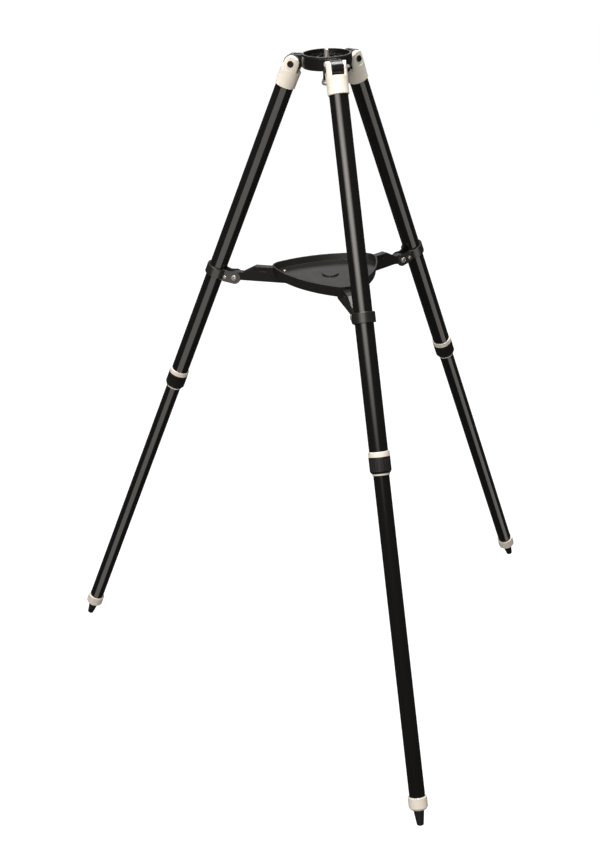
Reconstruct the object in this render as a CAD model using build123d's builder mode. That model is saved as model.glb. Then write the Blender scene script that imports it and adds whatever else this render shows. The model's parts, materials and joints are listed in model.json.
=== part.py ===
from build123d import *
from math import cos, radians, sin
import os

# A field tripod for a small telescope: a hub with three folding two-section legs,
# a spreader arm hinged on each leg, and a three-cornered tray that drops on the arms.
# Frame: origin on the hub's axis at its seat plane, +Z up, front leg towards -Y.
# All lengths are in millimetres.

os.makedirs("parts", exist_ok=True)

# ---- Where the legs stand, and the side of each leg its bolt heads are on ----
LEG_AZIMUTH = {"front": -90, "right": 30, "left": 150}
HEAD_WAY = {"front": 1, "right": 1, "left": -1}
LEG_TILT = 22.42
HINGE_RADIUS = 58.9
HINGE_Z = -17.0

# ---- Distances down a leg, from its hinge axis ----
CUP_RIM = 12.5
TUBE_START = 19.0
CUP_BOTTOM = 43.0
COLLAR_TOP = 404.5
COLLAR_BOTTOM = 423.0
ARM_PIVOT = 410.0
CLAMP_SCREW = 416.3
BUSH_TOP = 586.0
LOCK_TOP = 637.5
TUBE_END = 646.0
LOCK_NUT_TOP = 646.4
NECK_END = 662.0
COLLET_TOP = 662.5
LOCK_NUT_BOTTOM = 674.0
COLLET_BOTTOM = 677.3
FOOT_CAP_TOP = 1220.0
FOOT_CAP_BOTTOM = 1241.5
FOOT_END = 1270.5

# ---- Tubes ----
TUBE_R = 16.0
TUBE_WALL = 1.2
INNER_TUBE_R = 13.5
RUNNING_GAP = 0.05
INNER_TUBE_BORE_R = INNER_TUBE_R - TUBE_WALL
SLIDE_R = INNER_TUBE_R + RUNNING_GAP
BUSH_R = TUBE_R - TUBE_WALL - RUNNING_GAP

# ---- Clevis on top of a leg ----
CUP_R = 18.0
CUP_TOP_R = 18.7
CUP_ROUND = 32.0
EAR_R = 13.4
EAR_INNER = 10.5
EAR_OUTER = 17.8
EAR_ROUND_R = 1.6
POCKET_HALF_DEPTH = 15.5

# ---- Hinge bolt and nut ----
BOLT_R = 3.95
BOLT_HOLE_R = 4.0
BOLT_HEAD_R = 5.7
BOLT_HEAD_T = 1.8
BOLT_HEAD_ROUND_R = 0.9
BOLT_SOCKET_R = 2.6
BOLT_SOCKET_DEPTH = 1.2
HINGE_NUT_R = 6.6
HINGE_NUT_T = 4.5
HINGE_NUT_CROWN_R = 5.2
HINGE_NUT_CROWN_T = 1.0

# ---- Hub ----
HUB_R = 43.0
HUB_WALL = 4.0
HUB_RIM_CHAMFER = 1.5
HUB_RIM_CHAMFER_H = 2.5
HUB_FLOOR_Z = -9.0
HUB_FLOOR_T = 4.0
HUB_BOTTOM_Z = -23.5
HUB_FOOT_ROUND = 2.5
BOSS_R = 11.0
RING_RADII = (16.0, 28.0)
RING_T = 2.0
RIB_T = 2.0
RIB_H = 3.0
WEB_T = 2.4
WEB_H = 7.0
LUG_HALF_WIDTH = 10.4
LUG_R = 15.0
LUG_TOP_Z = -2.6
LUG_NECK_RADIUS = 46.5
LUG_ROOT_RADIUS = HUB_R - 2.5
RECESS_RADIUS = 51.0
RECESS_LENGTH = 12.0
RECESS_WIDTH = 13.0
RECESS_DEPTH = 1.2

# ---- Head bolt: sleeve, stud, clip, washer and knob ----
STUD_R = 4.0
STUD_TOP_Z = 8.0
STUD_DOME_H = 1.6
SLEEVE_R = 6.75
SLEEVE_BOTTOM_Z = -45.0
CLIP_Z = HUB_FLOOR_Z + 0.1
CLIP_T = 1.0
CLIP_R = 7.0
CLIP_MOUTH = 5.6
CLIP_GROOVE_R = 3.3
WASHER_TOP_Z = SLEEVE_BOTTOM_Z - 0.1
WASHER_T = 1.5
KNOB_R = 9.5
KNOB_TOP_Z = WASHER_TOP_Z - WASHER_T
KNOB_BOTTOM_Z = -54.0
KNOB_FLOOR_Z = KNOB_BOTTOM_Z + 3.0
KNOB_SHOULDER_R = KNOB_R - 1.5
KNOB_FOOT_R = KNOB_R - 2.0
KNOB_FLUTE_R = 1.8

# ---- Collar on a leg ----
COLLAR_R = 20.0
PIVOT_INWARD = 37.65
CLAMP_INWARD = 21.3
CHEEK_R = 11.8
CHEEK_T = 3.0
CHEEK_TAIL = 2.5
ARM_SIDE_GAP = 0.2
PIVOT_SCREW_R = 3.0
PIVOT_HEAD_R = 5.2
PIVOT_HEAD_T = 3.2
PIVOT_NUT_R = 5.4
CLAMP_SCREW_R = 2.0
CLAMP_HEAD_R = 3.4
CLAMP_HEAD_T = 2.6
CLAMP_NUT_R = 3.7
COLLAR_NUT_T = 3.6
SCREW_TAIL = 4.5
CROSS_SLOT = 0.9

# ---- Spreader arm ----
ARM_HALF_WIDTH = 6.5
ARM_WALL = 2.4
ARM_EYE_R = 10.3
ARM_BOTTOM_Z = -415.0
ARM_NECK_Z = -400.0
ARM_HEAD_Z = -387.0
ARM_SHOULDER_OUT = 165.0
ARM_SHOULDER_IN = 141.0
ARM_HEAD_IN = 114.0
ARM_HEAD_LEAN = 7.8
ARM_TONGUE_IN = 62.0
ARM_TIP_LENGTH = 12.0
ARM_TIP_H = 6.0
CATCH_LENGTH = 15.0
CATCH_H = 6.0
CATCH_ROUND_R = 1.5
CATCH_DEPTH = 1.6

# ---- Twist lock ----
NECK_R = 16.9
COLLET_LIP_R = 14.8
COLLET_SEAT_R = 15.9
COLLET_SEAT_H = 2.0
COLLET_SPLIT = 1.2
LOCK_NUT_R = 18.3
LOCK_NUT_GAP = 0.1
LOCK_NUT_TAPER = 2.4
LOCK_NUT_TAPER_H = 4.0
FLUTE_COUNT = 28
FLUTE_R = 1.1

# ---- Foot ----
FOOT_CAP_R = 16.2
FOOT_CAP_TAPER_R = 13.2
FOOT_CAP_TAPER_H = 3.5
FOOT_CAP_FLOOR_T = 4.0
FOOT_HOLE_R = 5.0
FOOT_STEM_R = 6.5
FOOT_STEM_END_R = 4.0
FOOT_STEM_H = 5.0
FOOT_TIP_R = 9.3
FOOT_TIP_END_R = 5.8
FOOT_DOME_H = 2.2

# ---- Tray ----
TRAY_TOP_Z = -382.0
TRAY_BOTTOM_Z = -401.0
TRAY_FLOOR_Z = -393.5
TRAY_FLOOR_T = 2.5
TRAY_SIDE_DISTANCE = 80.0
TRAY_SIDE_R = 220.0
TRAY_CORNER_R = 26.0
TRAY_DRAFT = 3.0
TRAY_WALL = 2.5
TRAY_ON_ARM_GAP = 0.1
TRAY_TO_HEAD_GAP = 0.4
TRAY_CORNER_RADIUS = 104.0
TRAY_RIB_RADIUS = 45.0
TRAY_RIB_LENGTH = 60.0
TRAY_RIB_H = 3.5
TRAY_CAP_R = 15.0
TRAY_CAP_T = 2.4
TRAY_CAP_ROUND_R = 1.0
PAD_RADIUS = 86.0
PAD_R = 6.0
PAD_T = 1.5
PAD_SCREW_R = 1.6
PAD_HEAD_R = 3.2
PAD_HEAD_T = 1.6


def save(piece, name):
    """Name a finished piece and write its file."""
    piece.part.label = name
    export_step(piece.part, f"parts/{name}.step")


def outward(azimuth):
    """Unit vector pointing away from the hub's axis."""
    return Vector(cos(radians(azimuth)), sin(radians(azimuth)), 0)


def leg_plane(azimuth):
    """Plane at a leg's hinge: x towards the hub's axis, z down the leg."""
    out = outward(azimuth)
    up = Vector(0, 0, 1)
    tilt = radians(LEG_TILT)
    return Plane(
        origin=out * HINGE_RADIUS + up * HINGE_Z,
        x_dir=out * -cos(tilt) - up * sin(tilt),
        z_dir=out * sin(tilt) - up * cos(tilt),
    )


def side_plane(leg):
    """The leg seen from its side: x towards the hub's axis, y down the leg."""
    return Plane(origin=leg.origin, x_dir=leg.x_dir, z_dir=leg.y_dir * -1)


def radial_plane(azimuth):
    """Upright plane through the hub's axis: x outward, y up."""
    out = outward(azimuth)
    return Plane(origin=(0, 0, 0), x_dir=out, z_dir=out.cross(Vector(0, 0, 1)))


def leg_axis(leg):
    return Axis(leg.origin, leg.z_dir)


def dome_arc(rim_r, rim_height, top_height):
    """Arc of a domed end, from its rim to its crown on the axis."""
    rise = top_height - rim_height
    ball_r = (rim_r**2 + rise**2) / (2 * rise)
    way = 1 if rise > 0 else -1
    mid_height = top_height - ball_r + way * (ball_r**2 - rim_r**2 / 4) ** 0.5
    return ThreePointArc((rim_r, rim_height), (rim_r / 2, mid_height), (0, top_height))


def edges_at(piece, plane, distance):
    """The edges of a piece that lie at a distance from a plane, on either side."""
    return piece.edges().filter_by(
        lambda edge: abs(abs(plane.to_local_coords(edge.center()).Z) - distance) < 0.01
    )


def turned(leg, outline):
    """A turned piece: a closed outline in the leg's side view spun round the leg's axis."""
    with BuildPart() as piece:
        with BuildSketch(side_plane(leg)):
            with BuildLine():
                Polyline(*outline, close=True)
            make_face()
        revolve(axis=leg_axis(leg))
    return piece


# ---------------------------------------------------------------- hub group
with BuildPart() as hub:
    # Shell: a skirt with a sunken floor and a boss for the head bolt.
    with BuildSketch(Plane.XZ):
        with BuildLine():
            Polyline(
                (SLEEVE_R, HUB_FLOOR_Z),
                (HUB_R - HUB_WALL - 1, HUB_FLOOR_Z),
                (HUB_R - HUB_WALL, HUB_FLOOR_Z + 1),
                (HUB_R - HUB_WALL, 0),
                (HUB_R - HUB_RIM_CHAMFER, 0),
                (HUB_R, -HUB_RIM_CHAMFER_H),
                (HUB_R, HUB_BOTTOM_Z + HUB_FOOT_ROUND),
                (HUB_R - HUB_FOOT_ROUND, HUB_BOTTOM_Z),
                (HUB_R - 2 * HUB_FOOT_ROUND, HUB_BOTTOM_Z),
                (HUB_R - HUB_WALL - 1, HUB_FLOOR_Z - HUB_FLOOR_T),
                (BOSS_R, HUB_FLOOR_Z - HUB_FLOOR_T),
                (BOSS_R, HUB_BOTTOM_Z),
                (SLEEVE_R, HUB_BOTTOM_Z),
                close=True,
            )
        make_face()
    revolve(axis=Axis.Z)
    # Raised rings on the sunken floor.
    for ring_r in RING_RADII:
        with BuildSketch(Plane.XY.offset(HUB_FLOOR_Z)):
            Circle(ring_r)
            Circle(ring_r - RING_T, mode=Mode.SUBTRACT)
        extrude(amount=RIB_H)
    # Ribs above the floor between the lugs, and webs below it.
    rib_start = RING_RADII[0] - RING_T / 2
    rib_end = HUB_R - HUB_WALL + 0.25
    with BuildSketch(Plane.XY.offset(HUB_FLOOR_Z)):
        for azimuth in LEG_AZIMUTH.values():
            for turn in (35, 60, 85):
                with Locations(outward(azimuth + turn) * ((rib_start + rib_end) / 2)):
                    Rectangle(rib_end - rib_start, RIB_T, rotation=azimuth + turn)
    extrude(amount=RIB_H)
    web_end = HUB_R - HUB_WALL - 1
    with BuildSketch(Plane.XY.offset(HUB_FLOOR_Z - HUB_FLOOR_T)):
        for azimuth in LEG_AZIMUTH.values():
            for turn in (0, 60):
                with Locations(outward(azimuth + turn) * ((BOSS_R + web_end) / 2)):
                    Rectangle(web_end - BOSS_R + 1, WEB_T, rotation=azimuth + turn)
    extrude(amount=-WEB_H)
    # Three lugs with round ends about the hinge axes, cut flat on top.
    for azimuth in LEG_AZIMUTH.values():
        with BuildSketch(radial_plane(azimuth)):
            with Locations((HINGE_RADIUS, HINGE_Z)):
                Circle(LUG_R)
            with BuildLine():
                Polyline(
                    (LUG_ROOT_RADIUS, HUB_BOTTOM_Z + 0.5),
                    (LUG_ROOT_RADIUS, LUG_TOP_Z),
                    (HINGE_RADIUS, LUG_TOP_Z),
                    (HINGE_RADIUS, HINGE_Z),
                    (LUG_NECK_RADIUS, HUB_BOTTOM_Z - 0.5),
                    close=True,
                )
            make_face()
            with Locations((HINGE_RADIUS, LUG_TOP_Z + LUG_R / 2)):
                Rectangle(2 * LUG_R, LUG_R, mode=Mode.SUBTRACT)
        extrude(amount=LUG_HALF_WIDTH, both=True)
        # Moulded recess in the top of each lug.
        with BuildSketch(Plane.XY.offset(LUG_TOP_Z)):
            with Locations(outward(azimuth) * RECESS_RADIUS):
                Rectangle(RECESS_LENGTH, RECESS_WIDTH, rotation=azimuth)
        extrude(amount=-RECESS_DEPTH, mode=Mode.SUBTRACT)
        # Hinge bolt hole.
        with BuildSketch(radial_plane(azimuth)):
            with Locations((HINGE_RADIUS, HINGE_Z)):
                Circle(BOLT_HOLE_R)
        extrude(amount=LUG_HALF_WIDTH + 1, both=True, mode=Mode.SUBTRACT)
save(hub, "hub")

with BuildPart() as hub_sleeve:
    # Steel tube that lines the hub's bore and hangs below it.
    with BuildSketch(Plane.XY.offset(SLEEVE_BOTTOM_Z)):
        Circle(SLEEVE_R)
        Circle(STUD_R + RUNNING_GAP, mode=Mode.SUBTRACT)
    extrude(amount=HUB_FLOOR_Z - SLEEVE_BOTTOM_Z)
    chamfer(hub_sleeve.edges().group_by(Axis.Z)[0], 0.6)
save(hub_sleeve, "hub_sleeve")

with BuildPart() as head_stud:
    # Bolt that the telescope's head screws down on, with a domed tip and a clip groove.
    with BuildSketch(Plane.XZ):
        with BuildLine():
            Line((0, KNOB_FLOOR_Z), (STUD_R, KNOB_FLOOR_Z))
            Polyline(
                (STUD_R, KNOB_FLOOR_Z),
                (STUD_R, CLIP_Z),
                (CLIP_GROOVE_R, CLIP_Z),
                (CLIP_GROOVE_R, CLIP_Z + CLIP_T),
                (STUD_R, CLIP_Z + CLIP_T),
                (STUD_R, STUD_TOP_Z - STUD_DOME_H),
            )
            dome_arc(STUD_R, STUD_TOP_Z - STUD_DOME_H, STUD_TOP_Z)
            Line((0, STUD_TOP_Z), (0, KNOB_FLOOR_Z))
        make_face()
    revolve(axis=Axis.Z)
save(head_stud, "head_stud")

with BuildPart() as stud_clip:
    # Open retaining clip in the bolt's groove.
    with BuildSketch(Plane.XY.offset(CLIP_Z)):
        Circle(CLIP_R)
        Circle(CLIP_GROOVE_R, mode=Mode.SUBTRACT)
        with Locations((0, CLIP_R / 2)):
            Rectangle(CLIP_MOUTH, CLIP_R, mode=Mode.SUBTRACT)
    extrude(amount=CLIP_T)
save(stud_clip, "stud_clip")

with BuildPart() as stud_washer:
    with BuildSketch(Plane.XY.offset(KNOB_TOP_Z)):
        Circle(KNOB_R - 1.0)
        Circle(STUD_R, mode=Mode.SUBTRACT)
    extrude(amount=WASHER_T)
save(stud_washer, "stud_washer")

with BuildPart() as stud_knob:
    # Rounded cap nut on the lower end of the bolt.
    with BuildSketch(Plane.XZ):
        with BuildLine():
            Polyline(
                (STUD_R, KNOB_FLOOR_Z),
                (STUD_R, KNOB_TOP_Z),
                (KNOB_SHOULDER_R, KNOB_TOP_Z),
            )
            ThreePointArc(
                (KNOB_SHOULDER_R, KNOB_TOP_Z),
                (KNOB_R, KNOB_TOP_Z - 3.2),
                (KNOB_FOOT_R, KNOB_BOTTOM_Z),
            )
            Polyline(
                (KNOB_FOOT_R, KNOB_BOTTOM_Z),
                (0, KNOB_BOTTOM_Z),
                (0, KNOB_FLOOR_Z),
                (STUD_R, KNOB_FLOOR_Z),
            )
        make_face()
    revolve(axis=Axis.Z)
    # Finger flutes round the rim.
    with BuildSketch(Plane.XY.offset(KNOB_BOTTOM_Z)):
        with PolarLocations(KNOB_R + 1.0, 10):
            Circle(KNOB_FLUTE_R)
    extrude(amount=KNOB_TOP_Z - KNOB_BOTTOM_Z + 1, mode=Mode.SUBTRACT)
save(stud_knob, "stud_knob")


# ---------------------------------------------------------------- leg pieces
def make_upper_tube(side, leg):
    with BuildPart() as upper_tube:
        with BuildSketch(leg.offset(TUBE_START)):
            Circle(TUBE_R)
            Circle(TUBE_R - TUBE_WALL, mode=Mode.SUBTRACT)
        extrude(amount=TUBE_END - TUBE_START)
    save(upper_tube, f"upper_tube_{side}")


def make_clevis(side, leg):
    """Cup on the tube's top end with two ears that straddle the hub's lug."""
    view = side_plane(leg)
    ear_length = CUP_RIM + 4
    with BuildPart() as clevis:
        for way in (1, -1):
            with BuildSketch(view.offset(way * EAR_INNER)):
                Circle(EAR_R)
                with Locations((0, ear_length / 2)):
                    Rectangle(2 * EAR_R, ear_length)
            extrude(amount=way * (EAR_OUTER - EAR_INNER))
        fillet(edges_at(clevis, view, EAR_OUTER), EAR_ROUND_R)
        with BuildSketch(leg.offset(-EAR_R)):
            Circle(CUP_TOP_R)
        extrude(amount=EAR_R + ear_length, mode=Mode.INTERSECT)
        with BuildSketch(view):
            with BuildLine():
                Polyline(
                    (0, CUP_RIM),
                    (CUP_TOP_R, CUP_RIM),
                    (CUP_R, CUP_ROUND),
                    (CUP_R, CUP_BOTTOM - 0.8),
                    (CUP_R - 0.8, CUP_BOTTOM),
                    (0, CUP_BOTTOM),
                    close=True,
                )
            make_face()
        revolve(axis=leg_axis(leg))
        # Pocket for the round end of the lug, then the tube's socket.
        with BuildSketch(leg.offset(CUP_RIM - 3)):
            Rectangle(2 * POCKET_HALF_DEPTH, 2 * EAR_INNER)
        extrude(amount=TUBE_START - CUP_RIM + 3, mode=Mode.SUBTRACT)
        with BuildSketch(leg.offset(TUBE_START)):
            Circle(TUBE_R)
        extrude(amount=CUP_BOTTOM - TUBE_START, mode=Mode.SUBTRACT)
        with BuildSketch(view):
            Circle(BOLT_HOLE_R)
        extrude(amount=EAR_OUTER + 1, both=True, mode=Mode.SUBTRACT)
    save(clevis, f"clevis_{side}")


def make_hinge_fasteners(side, leg):
    """Bolt and nut through the ears and the lug."""
    view = side_plane(leg)
    way = HEAD_WAY[side]
    nut_outer = EAR_OUTER + HINGE_NUT_T
    bolt_end = nut_outer + HINGE_NUT_CROWN_T
    with BuildPart() as hinge_bolt:
        with BuildSketch(view.offset(way * EAR_OUTER)):
            Circle(BOLT_R)
        extrude(amount=-way * (EAR_OUTER + bolt_end))
        with BuildSketch(view.offset(way * EAR_OUTER)):
            Circle(BOLT_HEAD_R)
        extrude(amount=way * BOLT_HEAD_T)
        fillet(edges_at(hinge_bolt, view, EAR_OUTER + BOLT_HEAD_T), BOLT_HEAD_ROUND_R)
        with BuildSketch(view.offset(way * (EAR_OUTER + BOLT_HEAD_T))):
            RegularPolygon(BOLT_SOCKET_R, 6)
        extrude(amount=-way * BOLT_SOCKET_DEPTH, mode=Mode.SUBTRACT)
    save(hinge_bolt, f"hinge_bolt_{side}")
    with BuildPart() as hinge_nut:
        with BuildSketch(view.offset(-way * EAR_OUTER)):
            RegularPolygon(HINGE_NUT_R, 6)
        extrude(amount=-way * HINGE_NUT_T)
        with BuildSketch(view.offset(-way * nut_outer)):
            Circle(HINGE_NUT_CROWN_R)
        extrude(amount=-way * HINGE_NUT_CROWN_T)
        with BuildSketch(view.offset(-way * EAR_OUTER)):
            Circle(BOLT_R)
        extrude(amount=-way * (bolt_end - EAR_OUTER), mode=Mode.SUBTRACT)
    save(hinge_nut, f"hinge_nut_{side}")


def make_collar(side, leg):
    """Open clamp round the upper tube with two cheeks that carry the spreader arm."""
    view = side_plane(leg)
    cheek_inner = ARM_HALF_WIDTH + ARM_SIDE_GAP
    with BuildPart() as collar:
        with BuildSketch(leg.offset(COLLAR_TOP)):
            Circle(COLLAR_R)
        extrude(amount=COLLAR_BOTTOM - COLLAR_TOP)
        chamfer(collar.edges().filter_by(GeomType.CIRCLE), 0.8)
        for way in (1, -1):
            with BuildSketch(view.offset(way * cheek_inner)):
                with Locations((PIVOT_INWARD, ARM_PIVOT)):
                    Circle(CHEEK_R)
                with BuildLine():
                    Polyline(
                        (COLLAR_R - 12, COLLAR_TOP - 1),
                        (COLLAR_R + 4, COLLAR_TOP - 1),
                        (PIVOT_INWARD - 3.0, ARM_PIVOT - CHEEK_R + 0.4),
                        (PIVOT_INWARD + 3.0, ARM_PIVOT + CHEEK_R - 0.4),
                        (COLLAR_R + 2, COLLAR_BOTTOM + CHEEK_TAIL),
                        (COLLAR_R - 12, COLLAR_BOTTOM + CHEEK_TAIL),
                        close=True,
                    )
                make_face()
            extrude(amount=way * CHEEK_T)
        with BuildSketch(leg.offset(COLLAR_TOP - 2)):
            Circle(TUBE_R)
            with Locations((1.5 * COLLAR_R, 0)):
                Rectangle(3 * COLLAR_R, 2 * cheek_inner)
        extrude(amount=COLLAR_BOTTOM - COLLAR_TOP + 6, mode=Mode.SUBTRACT)
        with BuildSketch(view):
            with Locations((PIVOT_INWARD, ARM_PIVOT)):
                Circle(PIVOT_SCREW_R)
            with Locations((CLAMP_INWARD, CLAMP_SCREW)):
                Circle(CLAMP_SCREW_R)
        extrude(amount=COLLAR_R, both=True, mode=Mode.SUBTRACT)
    save(collar, f"spreader_collar_{side}")


def make_cross_screw(side, leg, name, place, shank_r, head_r, head_t):
    """Pan-head screw across the collar's cheeks, at a place in the side view."""
    view = side_plane(leg)
    way = HEAD_WAY[side]
    cheek_outer = ARM_HALF_WIDTH + ARM_SIDE_GAP + CHEEK_T
    with BuildPart() as screw:
        with BuildSketch(view.offset(way * cheek_outer)):
            with Locations(place):
                Circle(shank_r)
        extrude(amount=-way * (2 * cheek_outer + SCREW_TAIL))
        with BuildSketch(view.offset(way * cheek_outer)):
            with Locations(place):
                Circle(head_r)
        extrude(amount=way * head_t)
        fillet(edges_at(screw, view, cheek_outer + head_t), head_t * 0.45)
        with BuildSketch(view.offset(way * (cheek_outer + head_t))):
            with Locations(place):
                Rectangle(head_r, CROSS_SLOT)
                Rectangle(CROSS_SLOT, head_r)
        extrude(amount=-way * head_t * 0.6, mode=Mode.SUBTRACT)
    save(screw, f"{name}_{side}")


def make_collar_fasteners(side, leg):
    """The arm's pivot screw, the collar's clamp screw, and their two nuts."""
    pivot_place = (PIVOT_INWARD, ARM_PIVOT)
    clamp_place = (CLAMP_INWARD, CLAMP_SCREW)
    make_cross_screw(side, leg, "arm_screw", pivot_place, PIVOT_SCREW_R, PIVOT_HEAD_R, PIVOT_HEAD_T)
    make_cross_screw(side, leg, "clamp_screw", clamp_place, CLAMP_SCREW_R, CLAMP_HEAD_R, CLAMP_HEAD_T)
    way = HEAD_WAY[side]
    cheek_outer = ARM_HALF_WIDTH + ARM_SIDE_GAP + CHEEK_T
    sizes = ((pivot_place, PIVOT_SCREW_R, PIVOT_NUT_R), (clamp_place, CLAMP_SCREW_R, CLAMP_NUT_R))
    with BuildPart() as nuts:
        for place, hole_r, nut_r in sizes:
            with BuildSketch(side_plane(leg).offset(-way * cheek_outer)):
                with Locations(place):
                    RegularPolygon(nut_r, 6)
                    Circle(hole_r, mode=Mode.SUBTRACT)
            extrude(amount=-way * COLLAR_NUT_T)
    save(nuts, f"collar_nuts_{side}")


def make_lock_base(side, leg):
    """Ring glued on the upper tube's end, with a neck that the lock nut screws on."""
    lock_base = turned(leg, [
        (TUBE_R, LOCK_TOP),
        (CUP_R - 0.6, LOCK_TOP),
        (CUP_R, LOCK_TOP + 0.6),
        (CUP_R, LOCK_NUT_TOP - 0.2),
        (NECK_R, LOCK_NUT_TOP - 0.2),
        (NECK_R, NECK_END),
        (SLIDE_R, NECK_END),
        (SLIDE_R, TUBE_END),
        (TUBE_R, TUBE_END),
    ])
    save(lock_base, f"lock_base_{side}")


def make_lock_collet(side, leg):
    """Split cone that the lock nut squeezes on the lower tube."""
    with BuildPart() as collet:
        with BuildSketch(side_plane(leg)):
            with BuildLine():
                Polyline(
                    (SLIDE_R, COLLET_TOP),
                    (COLLET_SEAT_R, COLLET_TOP),
                    (COLLET_SEAT_R, COLLET_TOP + COLLET_SEAT_H),
                    (COLLET_LIP_R, LOCK_NUT_BOTTOM - 1),
                    (COLLET_LIP_R, COLLET_BOTTOM - 0.5),
                    (COLLET_LIP_R - 0.5, COLLET_BOTTOM),
                    (SLIDE_R, COLLET_BOTTOM),
                    close=True,
                )
            make_face()
        revolve(axis=leg_axis(leg))
        with BuildSketch(leg.offset(COLLET_TOP - 1)):
            with PolarLocations(INNER_TUBE_R + 1, 4):
                Rectangle(6.0, COLLET_SPLIT)
        extrude(amount=LOCK_NUT_BOTTOM - COLLET_TOP, mode=Mode.SUBTRACT)
    save(collet, f"lock_collet_{side}")


def make_lock_nut(side, leg):
    """Fluted nut, bored to clear the neck and the collet."""
    with BuildPart() as lock_nut:
        with BuildSketch(side_plane(leg)):
            with BuildLine():
                Polyline(
                    (NECK_R + RUNNING_GAP, LOCK_NUT_TOP),
                    (LOCK_NUT_R - 0.7, LOCK_NUT_TOP),
                    (LOCK_NUT_R, LOCK_NUT_TOP + 0.7),
                    (LOCK_NUT_R, LOCK_NUT_BOTTOM - LOCK_NUT_TAPER_H),
                    (LOCK_NUT_R - LOCK_NUT_TAPER, LOCK_NUT_BOTTOM),
                    (COLLET_LIP_R + LOCK_NUT_GAP, LOCK_NUT_BOTTOM),
                    (COLLET_LIP_R + LOCK_NUT_GAP, LOCK_NUT_BOTTOM - 1),
                    (COLLET_SEAT_R + LOCK_NUT_GAP, COLLET_TOP + COLLET_SEAT_H),
                    (NECK_R + RUNNING_GAP, COLLET_TOP + 1),
                    close=True,
                )
            make_face()
        revolve(axis=leg_axis(leg))
        # Grip flutes.
        with BuildSketch(leg.offset(LOCK_NUT_TOP + 2.5)):
            with PolarLocations(LOCK_NUT_R + FLUTE_R / 2, FLUTE_COUNT):
                Circle(FLUTE_R)
        extrude(amount=LOCK_NUT_BOTTOM - LOCK_NUT_TOP - 7.0, mode=Mode.SUBTRACT)
    save(lock_nut, f"lock_nut_{side}")


def make_lower_tube(side, leg):
    """Lower tube, and the bush round its top that stops on the lock base when the leg is long."""
    with BuildPart() as lower_tube:
        with BuildSketch(leg.offset(BUSH_TOP)):
            Circle(INNER_TUBE_R)
            Circle(INNER_TUBE_BORE_R, mode=Mode.SUBTRACT)
        extrude(amount=FOOT_CAP_BOTTOM - FOOT_CAP_FLOOR_T - BUSH_TOP)
    save(lower_tube, f"lower_tube_{side}")
    slide_bush = turned(leg, [
        (INNER_TUBE_R, BUSH_TOP),
        (BUSH_R - 0.5, BUSH_TOP),
        (BUSH_R, BUSH_TOP + 0.5),
        (BUSH_R, TUBE_END - 1.5),
        (INNER_TUBE_R, TUBE_END - 1.5),
    ])
    save(slide_bush, f"slide_bush_{side}")


def make_foot(side, leg):
    """Cap on the lower tube's end, and a rubber tip whose stem snaps through the cap."""
    cap_floor = FOOT_CAP_BOTTOM - FOOT_CAP_FLOOR_T
    foot_cap = turned(leg, [
        (INNER_TUBE_R, FOOT_CAP_TOP),
        (FOOT_CAP_R - 0.6, FOOT_CAP_TOP),
        (FOOT_CAP_R, FOOT_CAP_TOP + 0.6),
        (FOOT_CAP_R, FOOT_CAP_BOTTOM - FOOT_CAP_TAPER_H),
        (FOOT_CAP_TAPER_R, FOOT_CAP_BOTTOM),
        (FOOT_HOLE_R, FOOT_CAP_BOTTOM),
        (FOOT_HOLE_R, cap_floor),
        (INNER_TUBE_R, cap_floor),
    ])
    save(foot_cap, f"foot_cap_{side}")
    with BuildPart() as foot_tip:
        with BuildSketch(side_plane(leg)):
            with BuildLine():
                Polyline(
                    (FOOT_TIP_END_R, FOOT_END - FOOT_DOME_H),
                    (FOOT_TIP_R, FOOT_CAP_BOTTOM + 1),
                    (FOOT_TIP_R, FOOT_CAP_BOTTOM),
                    (FOOT_HOLE_R, FOOT_CAP_BOTTOM),
                    (FOOT_HOLE_R, cap_floor),
                    (FOOT_STEM_R, cap_floor),
                    (FOOT_STEM_END_R, cap_floor - FOOT_STEM_H),
                    (0, cap_floor - FOOT_STEM_H),
                    (0, FOOT_END),
                )
                dome_arc(FOOT_TIP_END_R, FOOT_END - FOOT_DOME_H, FOOT_END)
            make_face()
        revolve(axis=leg_axis(leg))
    save(foot_tip, f"foot_tip_{side}")


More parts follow.
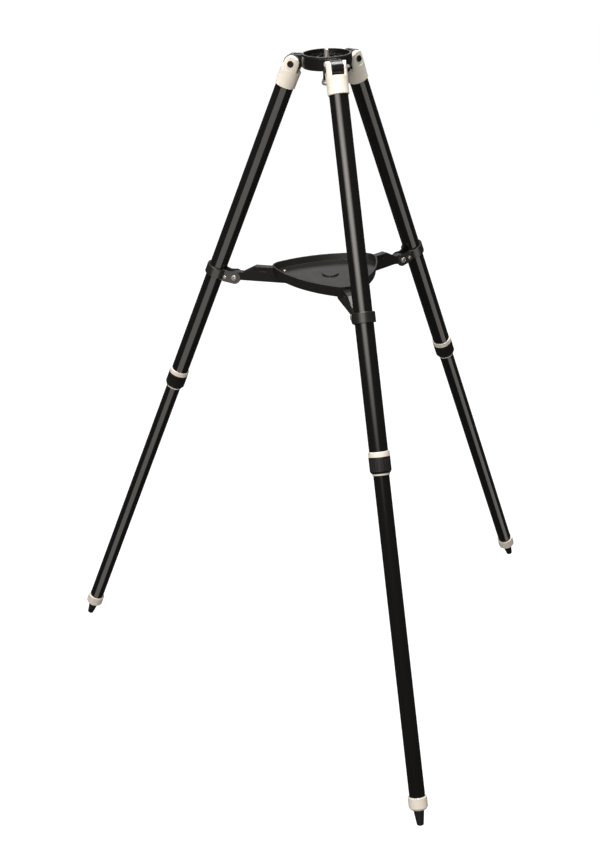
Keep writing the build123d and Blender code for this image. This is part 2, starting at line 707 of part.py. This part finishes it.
def make_arm(side, azimuth, leg):
    """Spreader arm: an eye on the collar, a raised head beside the tray, a tongue under it."""
    view = radial_plane(azimuth)
    pivot = leg.from_local_coords(Vector(PIVOT_INWARD, 0, ARM_PIVOT))
    pivot_radius = pivot.dot(outward(azimuth))
    tongue_z = TRAY_BOTTOM_Z - TRAY_ON_ARM_GAP
    hollow_start = ARM_TONGUE_IN + ARM_TIP_LENGTH + 2
    with BuildPart() as arm:
        with BuildSketch(view):
            with BuildLine():
                Polyline(
                    (pivot_radius, ARM_BOTTOM_Z),
                    (pivot_radius, ARM_NECK_Z),
                    (ARM_SHOULDER_OUT, ARM_NECK_Z),
                    (ARM_SHOULDER_IN, ARM_HEAD_Z),
                    (ARM_HEAD_IN, ARM_HEAD_Z),
                    (ARM_HEAD_IN - ARM_HEAD_LEAN, tongue_z),
                    (ARM_TONGUE_IN, tongue_z),
                    (ARM_TONGUE_IN, ARM_BOTTOM_Z + ARM_TIP_H),
                    (ARM_TONGUE_IN + ARM_TIP_LENGTH, ARM_BOTTOM_Z),
                    close=True,
                )
            make_face()
            with Locations((pivot_radius, pivot.Z)):
                Circle(ARM_EYE_R)
        extrude(amount=ARM_HALF_WIDTH, both=True)
        chamfer(edges_at(arm, view, ARM_HALF_WIDTH), 0.5)
        # Hollow underside, closed at the eye and at the tip.
        with BuildSketch(Plane.XY.offset(ARM_BOTTOM_Z)):
            with Locations(outward(azimuth) * ((ARM_SHOULDER_OUT + hollow_start) / 2)):
                Rectangle(
                    ARM_SHOULDER_OUT - hollow_start,
                    2 * (ARM_HALF_WIDTH - ARM_WALL),
                    rotation=azimuth,
                )
        extrude(amount=ARM_NECK_Z - ARM_BOTTOM_Z - 4, mode=Mode.SUBTRACT)
        # Catch windows moulded in both sides of the head.
        for way in (1, -1):
            with BuildSketch(view.offset(way * ARM_HALF_WIDTH)):
                with Locations((ARM_HEAD_IN + 3 + CATCH_LENGTH / 2, ARM_HEAD_Z - CATCH_H)):
                    RectangleRounded(CATCH_LENGTH, CATCH_H, CATCH_ROUND_R)
            extrude(amount=-way * CATCH_DEPTH, mode=Mode.SUBTRACT)
        with BuildSketch(view):
            with Locations((pivot_radius, pivot.Z)):
                Circle(PIVOT_SCREW_R + RUNNING_GAP)
        extrude(amount=ARM_HALF_WIDTH + 1, both=True, mode=Mode.SUBTRACT)
    save(arm, f"spreader_arm_{side}")


for side, azimuth in LEG_AZIMUTH.items():
    leg = leg_plane(azimuth)
    make_clevis(side, leg)
    make_hinge_fasteners(side, leg)
    make_upper_tube(side, leg)
    make_collar(side, leg)
    make_collar_fasteners(side, leg)
    make_arm(side, azimuth, leg)
    make_lock_base(side, leg)
    make_lock_collet(side, leg)
    make_lock_nut(side, leg)
    make_lower_tube(side, leg)
    make_foot(side, leg)


# ---------------------------------------------------------------- tray group
def tray_outline(inset):
    """A triangle with bowed sides and round corners that point at the legs."""
    with BuildSketch() as outline:
        for number, azimuth in enumerate(LEG_AZIMUTH.values()):
            with Locations(outward(azimuth) * (TRAY_SIDE_R - TRAY_SIDE_DISTANCE)):
                Circle(TRAY_SIDE_R - inset, mode=Mode.INTERSECT if number else Mode.ADD)
        fillet(outline.vertices(), TRAY_CORNER_R - inset)
    return outline.sketch


def at_pads(radius):
    """Circles over the three pads, in the sketch that is open."""
    for azimuth in LEG_AZIMUTH.values():
        with Locations(outward(azimuth) * PAD_RADIUS):
            Circle(radius)


rim_outline = tray_outline(0)
foot_outline = tray_outline(TRAY_DRAFT)
mouth_outline = tray_outline(TRAY_WALL)
floor_outline = tray_outline(TRAY_DRAFT + TRAY_WALL)
floor_underside_z = TRAY_FLOOR_Z - TRAY_FLOOR_T

with BuildPart() as tray:
    with BuildSketch(Plane.XY.offset(TRAY_BOTTOM_Z)):
        add(foot_outline)
    with BuildSketch(Plane.XY.offset(TRAY_TOP_Z)):
        add(rim_outline)
    loft()
    with BuildSketch(Plane.XY.offset(TRAY_FLOOR_Z)):
        add(floor_outline)
    with BuildSketch(Plane.XY.offset(TRAY_TOP_Z)):
        add(mouth_outline)
    loft(mode=Mode.SUBTRACT)
    with BuildSketch(Plane.XY.offset(TRAY_BOTTOM_Z)):
        add(floor_outline)
    extrude(amount=floor_underside_z - TRAY_BOTTOM_Z, mode=Mode.SUBTRACT)
    # Wedges at the corners, against the arms' heads: they lean out, so the tray lifts away freely.
    for azimuth in LEG_AZIMUTH.values():
        with BuildSketch(radial_plane(azimuth)):
            with BuildLine():
                Polyline(
                    (TRAY_CORNER_RADIUS, TRAY_BOTTOM_Z),
                    (ARM_HEAD_IN - ARM_HEAD_LEAN - TRAY_TO_HEAD_GAP, TRAY_BOTTOM_Z),
                    (ARM_HEAD_IN - TRAY_TO_HEAD_GAP, ARM_HEAD_Z),
                    (TRAY_CORNER_RADIUS + TRAY_WALL, ARM_HEAD_Z),
                    close=True,
                )
            make_face()
        extrude(amount=ARM_HALF_WIDTH, both=True)
    # Bosses over the arms' tongues, stiffening ribs, and the screws' holes.
    with BuildSketch(Plane.XY.offset(floor_underside_z)):
        at_pads(PAD_R)
    extrude(amount=TRAY_BOTTOM_Z + PAD_T - floor_underside_z)
    with BuildSketch(Plane.XY.offset(floor_underside_z)):
        for azimuth in LEG_AZIMUTH.values():
            with Locations(outward(azimuth + 60) * TRAY_RIB_RADIUS):
                Rectangle(TRAY_RIB_LENGTH, RIB_T, rotation=azimuth + 60)
    extrude(amount=-TRAY_RIB_H)
    with BuildSketch(Plane.XY.offset(TRAY_FLOOR_Z)):
        at_pads(PAD_SCREW_R)
    extrude(amount=TRAY_BOTTOM_Z - TRAY_FLOOR_Z, mode=Mode.SUBTRACT)
save(tray, "tray")

with BuildPart() as tray_cap:
    # Low round cap in the middle of the tray.
    with BuildSketch(Plane.XY.offset(TRAY_FLOOR_Z)):
        Circle(TRAY_CAP_R)
    extrude(amount=TRAY_CAP_T)
    fillet(tray_cap.edges().group_by(Axis.Z)[-1], TRAY_CAP_ROUND_R)
save(tray_cap, "tray_cap")

with BuildPart() as tray_pads:
    # Rubber pads under the tray's corners, bored for their screws.
    with BuildSketch(Plane.XY.offset(TRAY_BOTTOM_Z)):
        at_pads(PAD_R)
    extrude(amount=PAD_T)
    with BuildSketch(Plane.XY.offset(TRAY_BOTTOM_Z)):
        at_pads(PAD_SCREW_R)
    extrude(amount=PAD_T, mode=Mode.SUBTRACT)
save(tray_pads, "tray_pads")

with BuildPart() as tray_screws:
    # Screws that hold the pads, heads up in the tray's corners.
    with BuildSketch(Plane.XY.offset(TRAY_FLOOR_Z)):
        at_pads(PAD_SCREW_R)
    extrude(amount=TRAY_BOTTOM_Z + 0.5 - TRAY_FLOOR_Z)
    with BuildSketch(Plane.XY.offset(TRAY_FLOOR_Z)):
        at_pads(PAD_HEAD_R)
    extrude(amount=PAD_HEAD_T)
    chamfer(tray_screws.edges().group_by(Axis.Z)[-1], 0.5)
save(tray_screws, "tray_screws")
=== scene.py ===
import json
import math

import bpy
from mathutils import Matrix, Vector


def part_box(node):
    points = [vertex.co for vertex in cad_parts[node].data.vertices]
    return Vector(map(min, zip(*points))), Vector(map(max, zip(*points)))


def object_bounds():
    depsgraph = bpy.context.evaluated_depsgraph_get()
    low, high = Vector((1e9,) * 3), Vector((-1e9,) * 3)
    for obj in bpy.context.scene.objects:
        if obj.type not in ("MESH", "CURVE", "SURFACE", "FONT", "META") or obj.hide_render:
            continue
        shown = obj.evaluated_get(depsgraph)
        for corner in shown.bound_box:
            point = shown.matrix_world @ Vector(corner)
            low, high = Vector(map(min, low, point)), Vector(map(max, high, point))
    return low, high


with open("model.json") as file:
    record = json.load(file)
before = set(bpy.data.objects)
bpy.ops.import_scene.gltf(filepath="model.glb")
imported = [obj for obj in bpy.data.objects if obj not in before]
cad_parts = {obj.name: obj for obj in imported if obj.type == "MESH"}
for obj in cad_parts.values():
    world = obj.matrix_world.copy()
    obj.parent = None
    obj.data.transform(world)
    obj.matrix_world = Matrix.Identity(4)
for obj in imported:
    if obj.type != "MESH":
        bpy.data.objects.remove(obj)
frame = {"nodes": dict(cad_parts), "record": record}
cad_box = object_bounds()
record = frame["record"]
nodes = frame["nodes"]

# ---------------------------------------------------------------- driving values, in metres and degrees
CAMERA_PLACE = (-0.6151, -2.4005, 0.4593)
CAMERA_YAW = -9.75
CAMERA_PITCH = -23.62
CAMERA_ROLL = -2.84
CAMERA_LENS = 60.72
CAMERA_SHIFT = (0.0871, -0.0404)
SENSOR = 36.0

WHITE = (1, 1, 1)
FLOOR_SIZE = 40.0
FLOOR_DARK = (0.15, 0.15, 0.15)
FLOOR_LIGHT = (0.17, 0.17, 0.17)
FLOOR_ROUGHNESS = 0.9
FLOOR_FIBRES = 3.0
# The floor's glow and the world's strength, each as seen, as mirrored and as scattered light.
FLOOR_GLOW = (0.97, 0.0, 0.0)
WORLD_STRENGTHS = (1.0, 0.05, 0.30)
# The hub stays where it is when the legs fold, so the feet then reach this much lower.
FLOOR_DROP = 0.10

CENTRE = (0, 0, 0)
OVERHEAD_PLACE = (0.0, 0.1, 1.8)
OVERHEAD_ALONG = (0, 1, 0)
OVERHEAD_SIZE = (1.3, 1.3)
OVERHEAD_RADIANCE = 13.0
KEY_PLACE = (-1.3, -2.1, 0.95)
KEY_TARGET = (0, 0, -0.2)
KEY_SIZE = (5.0, 2.3)
KEY_RADIANCE = 6.4
KEY_COLOUR = (1.0, 0.95, 0.88)
BACKDROP_PLACE = (0.62, 2.42, 0.48)
BACKDROP_SIZE = (2.4, 0.45)
BACKDROP_RADIANCE = 0.8
# Watts that give one square metre of a panel a radiance of 1.
PANEL_WATTS = 4

STRIPE_DISTANCE = 2.0
STRIPE_LENGTH = 8.0
STRIPE_COLOUR = (1.0, 0.94, 0.87)
STRIPED_PIECES = ("upper_tube", "lower_tube", "spreader_collar")
# Per leg: the mirroring line's middle and half width in degrees round the leg, and the radiance.
STRIPES = {"left": (-0.5, 18.0, 1.6), "right": (-16.0, 14.0, 1.6)}

# Patterns are (scale in 1/m, detail) or (scale, detail, roughness) of a noise. Pairs are the ends of a
# range. Depths and edge radii are in metres.
BEVEL_SAMPLES = 6
EVEN_ROUGHNESS = 0.5
# An edge shows where the rounded and the flat normal agree less than this; it is full at the second value.
EDGE_AGREEMENT = (0.99, 0.80)
WEAR_PATTERN = (160.0, 4.0, 0.65)
WEAR_COVER = (-0.3, 1.1)

PLASTIC_DRIFT = (18.0, 4.0)
PLASTIC_PATCHES = (60.0, 5.0, 0.6)
PLASTIC_GRAIN_DETAIL = 2.0
PLASTIC_GRAIN_STRENGTH = 0.35
PLASTIC_IOR = 1.47

METAL_DRIFT = (300.0, 4.0, 0.6)
METAL_GRAIN = (2500.0, 1.0)
METAL_GRAIN_STRENGTH = 0.15
METAL_GRAIN_DEPTH = 0.00002
METAL_EDGE_RADIUS = 0.0003

COAT_DARK = (0.0045, 0.0042, 0.0040)
COAT_LIGHT = (0.009, 0.0085, 0.0080)
COAT_WORN = (0.06, 0.058, 0.055)
COAT_DRIFT = (9.0, 4.0)
COAT_PATCHES = (35.0, 4.0, 0.6)
COAT_ROUGHNESS = (0.10, 0.17)
COAT_PEEL = (900.0, 2.0)
COAT_PEEL_STRENGTH = 0.08
COAT_PEEL_DEPTH = 0.00003
COAT_WEAR_RADIUS = 0.0004
COAT_EDGE_RADIUS = 0.0003
COAT_IOR = 1.5


# ---------------------------------------------------------------- small node helpers
def new_material(name):
    """An empty node material; returns it with its tree and its shader node."""
    material = bpy.data.materials.new(name)
    material.use_nodes = True
    tree = material.node_tree
    tree.nodes.clear()
    output = tree.nodes.new("ShaderNodeOutputMaterial")
    shader = tree.nodes.new("ShaderNodeBsdfPrincipled")
    tree.links.new(shader.outputs["BSDF"], output.inputs["Surface"])
    return material, tree, shader


def feed(tree, socket, source):
    """Gives an input its source: another node's output, a colour or a plain value."""
    if isinstance(source, bpy.types.NodeSocket):
        tree.links.new(source, socket)
    elif isinstance(source, tuple) and socket.type == "RGBA":
        socket.default_value = (*source, 1)
    else:
        socket.default_value = source


def noise(tree, scale, detail=3.0, roughness=EVEN_ROUGHNESS):
    """A noise fixed to the piece, 0 to 1."""
    coords = tree.nodes.new("ShaderNodeTexCoord")
    texture = tree.nodes.new("ShaderNodeTexNoise")
    texture.inputs["Scale"].default_value = scale
    texture.inputs["Detail"].default_value = detail
    texture.inputs["Roughness"].default_value = roughness
    tree.links.new(coords.outputs["Object"], texture.inputs["Vector"])
    return texture.outputs["Fac"]


def spread(tree, source, low, high, start=0.0, end=1.0, interpolation="LINEAR"):
    """Maps start..end of a value to low..high."""
    node = tree.nodes.new("ShaderNodeMapRange")
    node.interpolation_type = interpolation
    node.inputs["From Min"].default_value = start
    node.inputs["From Max"].default_value = end
    node.inputs["To Min"].default_value = low
    node.inputs["To Max"].default_value = high
    tree.links.new(source, node.inputs["Value"])
    return node.outputs["Result"]


def calculate(tree, operation, first, second, clamp=False):
    """A sum or product of two values, each a node's output or a number."""
    node = tree.nodes.new("ShaderNodeMath")
    node.operation = operation
    node.use_clamp = clamp
    feed(tree, node.inputs[0], first)
    feed(tree, node.inputs[1], second)
    return node.outputs[0]


def tint(tree, factor, first, second):
    """Mixes two colours, each a node's output or a colour."""
    node = tree.nodes.new("ShaderNodeMix")
    node.data_type = "RGBA"
    feed(tree, node.inputs["A"], first)
    feed(tree, node.inputs["B"], second)
    tree.links.new(factor, node.inputs["Factor"])
    return node.outputs["Result"]


def edge_normal(tree, radius):
    """Rounds sharp edges in the shading, so a moulded edge catches light."""
    bevel = tree.nodes.new("ShaderNodeBevel")
    bevel.samples = BEVEL_SAMPLES
    bevel.inputs["Radius"].default_value = radius
    return bevel.outputs["Normal"]


def worn_edges(tree, colour, worn, edge_radius):
    """Lightens a colour in broken patches along the edges, as handling does."""
    bevel = edge_normal(tree, edge_radius)
    geometry = tree.nodes.new("ShaderNodeNewGeometry")
    agreement = tree.nodes.new("ShaderNodeVectorMath")
    agreement.operation = "DOT_PRODUCT"
    tree.links.new(bevel, agreement.inputs[0])
    tree.links.new(geometry.outputs["Normal"], agreement.inputs[1])
    edge = spread(tree, agreement.outputs["Value"], 0.0, 1.0, *EDGE_AGREEMENT)
    cover = spread(tree, noise(tree, *WEAR_PATTERN), *WEAR_COVER)
    return tint(tree, calculate(tree, "MULTIPLY", edge, cover, clamp=True), colour, worn)


def grain(tree, shader, height, strength, depth, edge_radius):
    """Gives a shader fine relief on top of its rounded edges."""
    bump = tree.nodes.new("ShaderNodeBump")
    bump.inputs["Strength"].default_value = strength
    bump.inputs["Distance"].default_value = depth
    tree.links.new(height, bump.inputs["Height"])
    tree.links.new(edge_normal(tree, edge_radius), bump.inputs["Normal"])
    tree.links.new(bump.outputs["Normal"], shader.inputs["Normal"])


# ---------------------------------------------------------------- kinds of material
def moulded_plastic(name, dark, light, worn, roughness, grain_scale, grain_depth, edge_radius=0.0006):
    """Injection-moulded plastic: colour drift, gloss patches, fine skin grain, rubbed edges."""
    material, tree, shader = new_material(name)
    colour = tint(tree, noise(tree, *PLASTIC_DRIFT), dark, light)
    tree.links.new(worn_edges(tree, colour, worn, edge_radius), shader.inputs["Base Color"])
    tree.links.new(spread(tree, noise(tree, *PLASTIC_PATCHES), *roughness), shader.inputs["Roughness"])
    skin = noise(tree, grain_scale, PLASTIC_GRAIN_DETAIL)
    grain(tree, shader, skin, PLASTIC_GRAIN_STRENGTH, grain_depth, edge_radius)
    shader.inputs["IOR"].default_value = PLASTIC_IOR
    return material


def metal(name, dark, light, roughness, metallic):
    """Bare or blackened steel: one drift of colour and gloss, and a very fine grain."""
    material, tree, shader = new_material(name)
    drift = noise(tree, *METAL_DRIFT)
    tree.links.new(tint(tree, drift, dark, light), shader.inputs["Base Color"])
    tree.links.new(spread(tree, drift, *roughness), shader.inputs["Roughness"])
    shader.inputs["Metallic"].default_value = metallic
    fine = noise(tree, *METAL_GRAIN)
    grain(tree, shader, fine, METAL_GRAIN_STRENGTH, METAL_GRAIN_DEPTH, METAL_EDGE_RADIUS)
    return material


def tube_coat(name):
    """Smooth baked black coat on drawn tube: faint drift, slight orange peel, rubbed ends."""
    material, tree, shader = new_material(name)
    colour = tint(tree, noise(tree, *COAT_DRIFT), COAT_DARK, COAT_LIGHT)
    tree.links.new(worn_edges(tree, colour, COAT_WORN, COAT_WEAR_RADIUS), shader.inputs["Base Color"])
    tree.links.new(spread(tree, noise(tree, *COAT_PATCHES), *COAT_ROUGHNESS), shader.inputs["Roughness"])
    peel = noise(tree, *COAT_PEEL)
    grain(tree, shader, peel, COAT_PEEL_STRENGTH, COAT_PEEL_DEPTH, COAT_EDGE_RADIUS)
    shader.inputs["IOR"].default_value = COAT_IOR
    return material


# ---------------------------------------------------------------- materials per slot
finishes = {
    "hub_plastic": moulded_plastic(
        "hub_plastic",
        dark=(0.0060, 0.0056, 0.0050), light=(0.0105, 0.0100, 0.0090), worn=(0.035, 0.033, 0.030),
        roughness=(0.16, 0.28), grain_scale=1400.0, grain_depth=0.00004,
    ),
    "tube_paint": tube_coat("tube_paint"),
    "cream_plastic": moulded_plastic(
        "cream_plastic",
        dark=(0.76, 0.70, 0.61), light=(0.82, 0.765, 0.675), worn=(0.86, 0.82, 0.74),
        roughness=(0.30, 0.44), grain_scale=1500.0, grain_depth=0.00003,
    ),
    "spreader_plastic": moulded_plastic(
        "spreader_plastic",
        dark=(0.011, 0.0104, 0.0092), light=(0.019, 0.0180, 0.0160), worn=(0.055, 0.052, 0.047),
        roughness=(0.24, 0.38), grain_scale=1100.0, grain_depth=0.00006,
    ),
    "nut_plastic": moulded_plastic(
        "nut_plastic",
        dark=(0.009, 0.0085, 0.0080), light=(0.015, 0.0145, 0.0135), worn=(0.045, 0.043, 0.040),
        roughness=(0.24, 0.38), grain_scale=1300.0, grain_depth=0.00004, edge_radius=0.0004,
    ),
    "bright_steel": metal(
        "bright_steel",
        dark=(0.58, 0.55, 0.50), light=(0.74, 0.71, 0.65), roughness=(0.24, 0.40), metallic=0.7,
    ),
    "black_steel": metal(
        "black_steel",
        dark=(0.020, 0.017, 0.014), light=(0.045, 0.040, 0.034), roughness=(0.25, 0.42), metallic=0.6,
    ),
    "foot_rubber": moulded_plastic(
        "foot_rubber",
        dark=(0.008, 0.008, 0.008), light=(0.014, 0.014, 0.013), worn=(0.04, 0.038, 0.035),
        roughness=(0.55, 0.75), grain_scale=700.0, grain_depth=0.0001,
    ),
    "guide_nylon": moulded_plastic(
        "guide_nylon",
        dark=(0.62, 0.60, 0.55), light=(0.70, 0.68, 0.63), worn=(0.75, 0.73, 0.69),
        roughness=(0.35, 0.5), grain_scale=900.0, grain_depth=0.00005, edge_radius=0.0005,
    ),
}
slot_of_node = {entry["node"]: entry["material_slot"] for entry in record["subparts"]}
for name, node in nodes.items():
    node.data.materials.clear()
    node.data.materials.append(finishes[slot_of_node[name]])


# ---------------------------------------------------------------- stage and light
def by_ray(tree, seen, mirrored, scattered):
    """A strength that depends on the kind of ray: seen, mirrored, or scattered light."""
    rays = tree.nodes.new("ShaderNodeLightPath")
    seen_share = calculate(tree, "MULTIPLY", rays.outputs["Is Camera Ray"], seen - scattered)
    mirrored_share = calculate(tree, "MULTIPLY", rays.outputs["Is Glossy Ray"], mirrored - scattered)
    return calculate(tree, "ADD", calculate(tree, "ADD", seen_share, mirrored_share), scattered)


def make_floor(height):
    """Pale paper that glows to the camera, so it stays pale and even to its far edge."""
    material, tree, shader = new_material("floor_paper")
    fibres = noise(tree, FLOOR_FIBRES)
    tree.links.new(tint(tree, fibres, FLOOR_DARK, FLOOR_LIGHT), shader.inputs["Base Color"])
    shader.inputs["Roughness"].default_value = FLOOR_ROUGHNESS
    shader.inputs["Specular IOR Level"].default_value = 0.0
    shader.inputs["Emission Color"].default_value = (*WHITE, 1)
    tree.links.new(by_ray(tree, *FLOOR_GLOW), shader.inputs["Emission Strength"])
    bpy.ops.mesh.primitive_plane_add(size=FLOOR_SIZE, location=(0, 0, height))
    floor = bpy.context.object
    floor.name = "floor"
    floor.data.materials.append(material)
    floor.visible_glossy = False
    floor.visible_shadow = False


def make_world():
    """White behind the object, near black in its mirrorings, as in a dark studio."""
    world = bpy.data.worlds.new("studio")
    bpy.context.scene.world = world
    world.use_nodes = True
    tree = world.node_tree
    tree.links.new(by_ray(tree, *WORLD_STRENGTHS), tree.nodes["Background"].inputs["Strength"])
    tree.nodes["Background"].inputs["Color"].default_value = (*WHITE, 1)


def softbox(name, place, target, size, radiance, colour=WHITE, along=(0, 0, 1), soft=False):
    """A rectangular light at a place, facing a target, its second side lying along a direction."""
    data = bpy.data.lights.new(name, "AREA")
    data.shape = "RECTANGLE"
    data.size, data.size_y = size
    data.energy = PANEL_WATTS * radiance * size[0] * size[1]
    data.color = colour
    if soft:
        fade_to_edges(data)
    lamp = bpy.data.objects.new(name, data)
    bpy.context.scene.collection.objects.link(lamp)
    towards = (Vector(target) - Vector(place)).normalized()
    side = Vector(along).cross(-towards).normalized()
    up = (-towards).cross(side)
    turn = Matrix((side, up, -towards)).transposed().to_4x4()
    lamp.matrix_world = Matrix.Translation(place) @ turn
    lamp.visible_camera = False
    return lamp


def fade_to_edges(data):
    """Lets a light fade from its middle to its edges; both run 0 to 1 across the panel."""
    data.use_nodes = True
    tree = data.node_tree
    geometry = tree.nodes.new("ShaderNodeNewGeometry")
    centred = tree.nodes.new("ShaderNodeVectorMath")
    centred.operation = "SUBTRACT"
    centred.inputs[1].default_value = (0.5, 0.5, 0.0)
    length = tree.nodes.new("ShaderNodeVectorMath")
    length.operation = "LENGTH"
    tree.links.new(geometry.outputs["Parametric"], centred.inputs[0])
    tree.links.new(centred.outputs[0], length.inputs[0])
    fade = spread(tree, length.outputs["Value"], 1.0, 0.0, end=0.5, interpolation="SMOOTHSTEP")
    tree.links.new(fade, tree.nodes["Emission"].inputs["Strength"])


def leg_line(side):
    """Middle of a leg's tubes, and its direction towards the foot."""
    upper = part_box(f"clevis_{side}")
    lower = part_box(f"foot_cap_{side}")
    start = (Vector(upper[0]) + Vector(upper[1])) / 2
    end = (Vector(lower[0]) + Vector(lower[1])) / 2
    return (start + end) / 2, (end - start).normalized()


def stripe_light(side, middle_turn, half_turn, radiance):
    """A long panel that a black leg mirrors as one even stripe with crisp edges.

    The turns are the angles round the leg, in degrees, of the mirroring line's middle and
    half width. The panel lights that leg's striped pieces only.
    """
    middle, along = leg_line(side)
    view = (middle - Vector(CAMERA_PLACE)).normalized()
    facing = -(view - along * view.dot(along)).normalized()
    normal = Matrix.Rotation(math.radians(middle_turn), 3, along) @ facing
    mirrored = view - 2 * view.dot(normal) * normal
    across = STRIPE_DISTANCE * math.hypot(*mirrored.cross(along)) * math.tan(math.radians(2 * half_turn))
    place = middle + mirrored * STRIPE_DISTANCE
    lamp = softbox(
        f"stripe_{side}", place, place - (mirrored - along * mirrored.dot(along)),
        (2 * across, STRIPE_LENGTH), radiance, STRIPE_COLOUR, along=along,
    )
    group = bpy.data.collections.new(f"striped_pieces_{side}")
    for piece in STRIPED_PIECES:
        group.objects.link(nodes[f"{piece}_{side}"])
    lamp.light_linking.receiver_collection = group
    lamp.visible_diffuse = False


make_floor(cad_box[0][2] - FLOOR_DROP)
make_world()
softbox("overhead", OVERHEAD_PLACE, CENTRE, OVERHEAD_SIZE, OVERHEAD_RADIANCE, along=OVERHEAD_ALONG)
softbox("key", KEY_PLACE, KEY_TARGET, KEY_SIZE, KEY_RADIANCE, KEY_COLOUR, soft=True)
softbox("backdrop", BACKDROP_PLACE, CENTRE, BACKDROP_SIZE, BACKDROP_RADIANCE)
for side, (middle_turn, half_turn, radiance) in STRIPES.items():
    stripe_light(side, middle_turn, half_turn, radiance)

# ---------------------------------------------------------------- camera
camera_data = bpy.data.cameras.new("camera")
camera_data.sensor_width = SENSOR
camera_data.lens = CAMERA_LENS
camera_data.shift_x, camera_data.shift_y = CAMERA_SHIFT
camera = bpy.data.objects.new("camera", camera_data)
bpy.context.scene.collection.objects.link(camera)
camera.matrix_world = (
    Matrix.Translation(CAMERA_PLACE)
    @ Matrix.Rotation(math.radians(CAMERA_YAW), 4, "Z")
    @ Matrix.Rotation(math.radians(90 + CAMERA_PITCH), 4, "X")
    @ Matrix.Rotation(math.radians(CAMERA_ROLL), 4, "Z")
)
bpy.context.scene.camera = camera
bpy.context.scene.view_settings.view_transform = "Standard"
